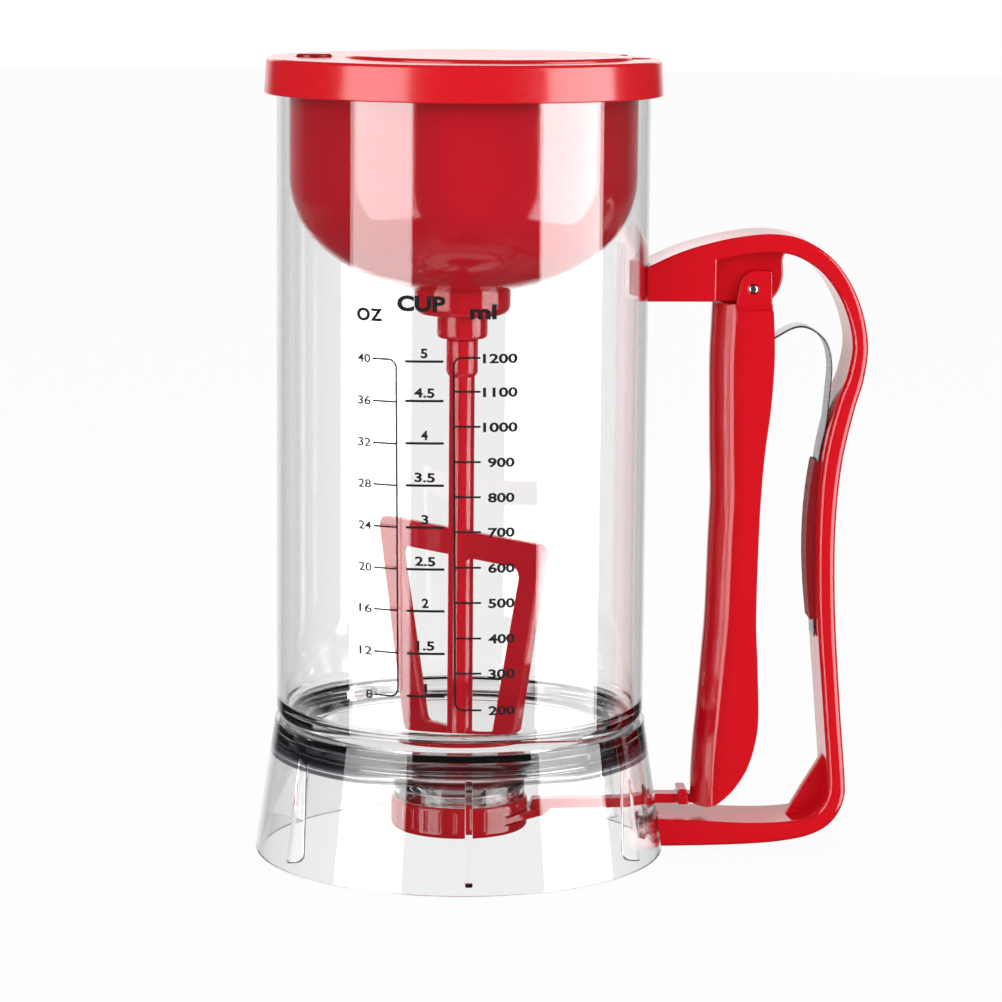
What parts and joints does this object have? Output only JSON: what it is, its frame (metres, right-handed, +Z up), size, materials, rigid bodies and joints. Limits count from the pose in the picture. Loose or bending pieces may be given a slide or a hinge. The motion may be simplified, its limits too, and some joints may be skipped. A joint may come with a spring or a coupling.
{
  "type": "batter dispenser",
  "caption": "Clear measuring tube on a flared skirt, with a trigger handle that draws a slide valve under its funnel and a lift-off lid that drives a mixing paddle by battery.",
  "frame": {"origin": "middle of the ring that the skirt stands on, on the table", "axes": "+Z up along the tube's axis, +X towards the handle, the trigger swings in the XZ plane"},
  "size_m": [0.1897, 0.1288, 0.249],
  "materials": {
    "clear_plastic": "clear, polished",
    "red_plastic": "glossy",
    "dark_red_plastic": "glossy",
    "steel": "satin",
    "silicone": "matte",
    "acetal": "matte",
    "black_plastic": "matte",
    "circuit_board": "satin",
    "cell_wrap": "glossy"
  },
  "bodies": {
    "base": {"container": "clear_plastic", "base_skirt": "clear_plastic", "outlet_gasket": "silicone", "valve_cap": "red_plastic", "handle": "red_plastic", "handle_screws": "steel", "pivot_pin": "steel", "leaf_spring": "steel", "spring_keeper": "dark_red_plastic"},
    "slide": {"valve_slide": "red_plastic"},
    "trigger": {"trigger": "red_plastic"},
    "lid": {"lid_cover": "red_plastic", "lid_seal": "silicone", "motor_housing": "red_plastic", "housing_screws": "steel", "batteries": "cell_wrap", "battery_contacts": "steel", "power_switch": "circuit_board", "motor": "steel", "motor_clamp": "black_plastic", "clamp_screws": "steel", "shaft_bush": "acetal", "shaft_seal": "silicone"},
    "door": {"battery_door": "red_plastic"},
    "button": {"power_button": "dark_red_plastic"},
    "mixer": {"drive_spindle": "steel", "paddle": "red_plastic"}
  },
  "joints": [
    {"name": "trigger_squeeze", "type": "hinge", "parent": "base", "child": "trigger", "pos_m": [0.0895, 0, 0.1777], "axis": [0, -1, 0], "range_deg": [0, 6.4], "stiffness_Nm_per_rad": 2.6, "springref_deg": -2.29, "deforming": ["leaf_spring"]},
    {"name": "valve_draw", "type": "slide", "parent": "base", "child": "slide", "axis": [1, 0, 0], "range_m": [0, 0.0182]},
    {"name": "lid_lift", "type": "slide", "parent": "base", "child": "lid", "axis": [0, 0, 1], "range_m": [0, 0.235]},
    {"name": "battery_door_open", "type": "hinge", "parent": "lid", "child": "door", "pos_m": [-0.0364, 0, 0.2479], "axis": [0, -1, 0], "range_deg": [0, 80]},
    {"name": "power_press", "type": "slide", "parent": "lid", "child": "button", "axis": [0, 0, -1], "range_m": [0, 0.0012], "stiffness_N_per_m": 600, "springref_m": -0.001},
    {"name": "paddle_spin", "type": "hinge", "parent": "lid", "child": "mixer", "pos_m": [0, 0, 0.17], "axis": [0, 0, 1], "continuous": true}
  ],
  "couplings": [
    {"joint": "valve_draw", "follows": "trigger_squeeze", "m_per_rad": 0.162}
  ]
}
